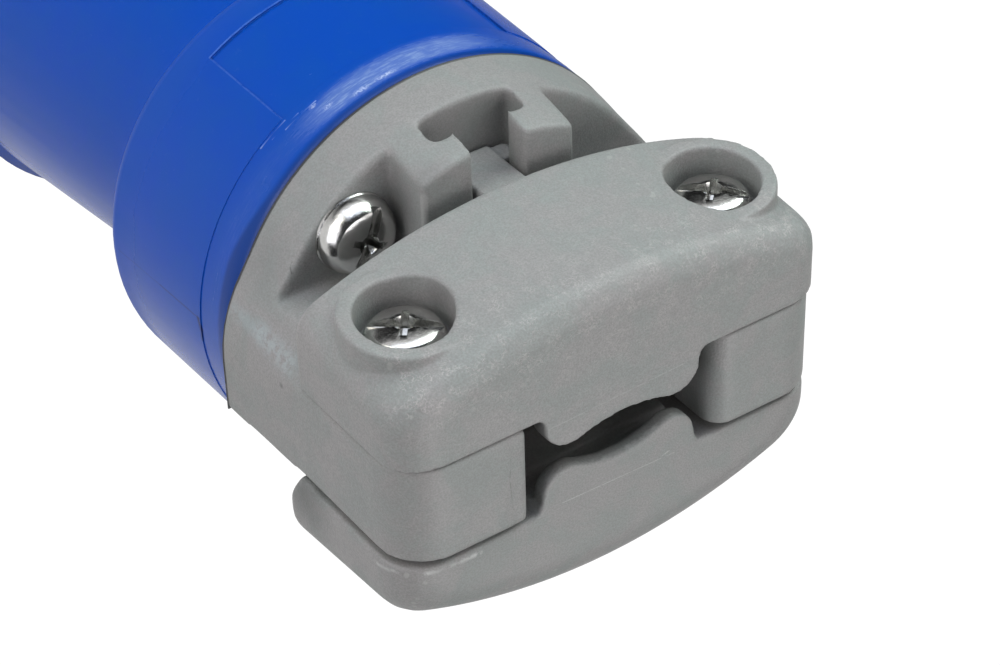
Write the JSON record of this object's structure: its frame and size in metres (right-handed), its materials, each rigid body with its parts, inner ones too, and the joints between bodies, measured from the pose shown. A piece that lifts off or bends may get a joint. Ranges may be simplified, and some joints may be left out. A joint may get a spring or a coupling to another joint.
{
  "type": "pin and sleeve plug",
  "caption": "Straight splash-proof power plug with a round sleeve around its contact pins, a wide collar, and a grey rear shell whose two screwed jaws clamp the cord.",
  "frame": {"origin": "centre of the sleeve rim, on the plug axis, in the lowest plane of the part", "axes": "+Z along the plug axis from the sleeve rim to the cord end; -Y is the side of the clamp screw heads; +Y is the side of the earth pin and the key; +X completes the right-handed frame"},
  "size_m": [0.0484, 0.0474, 0.134],
  "materials": {
    "blue_plastic": "satin moulded blue plastic",
    "grey_plastic": "fine-grained moulded grey plastic",
    "black_plastic": "moulded dark insulating plastic",
    "black_rubber": "soft black sealing rubber",
    "plated_steel": "bright plated steel",
    "brass": "turned brass"
  },
  "bodies": {
    "plug_body": {"sleeve_housing": "blue_plastic", "back_shell": "grey_plastic", "assembly_screw_front": "plated_steel", "assembly_screw_back": "plated_steel", "housing_gasket": "black_rubber", "cord_seal": "black_rubber", "pin_carrier": "black_plastic", "carrier_screw_left": "plated_steel", "carrier_screw_right": "plated_steel", "line_pin_left": "brass", "line_pin_right": "brass", "earth_pin": "brass", "terminal_screw_left": "plated_steel", "terminal_screw_right": "plated_steel", "terminal_screw_earth": "plated_steel"},
    "front_jaw": {"clamp_jaw_front": "grey_plastic", "clamp_screw_left": "plated_steel", "clamp_screw_right": "plated_steel"},
    "back_jaw": {"clamp_jaw_back": "grey_plastic", "clamp_nut_left": "plated_steel", "clamp_nut_right": "plated_steel"}
  },
  "joints": [
    {"name": "front_jaw_slide", "type": "slide", "parent": "plug_body", "child": "front_jaw", "axis": [0, -1, 0], "range_m": [0, 0.0016]},
    {"name": "back_jaw_slide", "type": "slide", "parent": "plug_body", "child": "back_jaw", "axis": [0, 1, 0], "range_m": [0, 0.0016]}
  ]
}
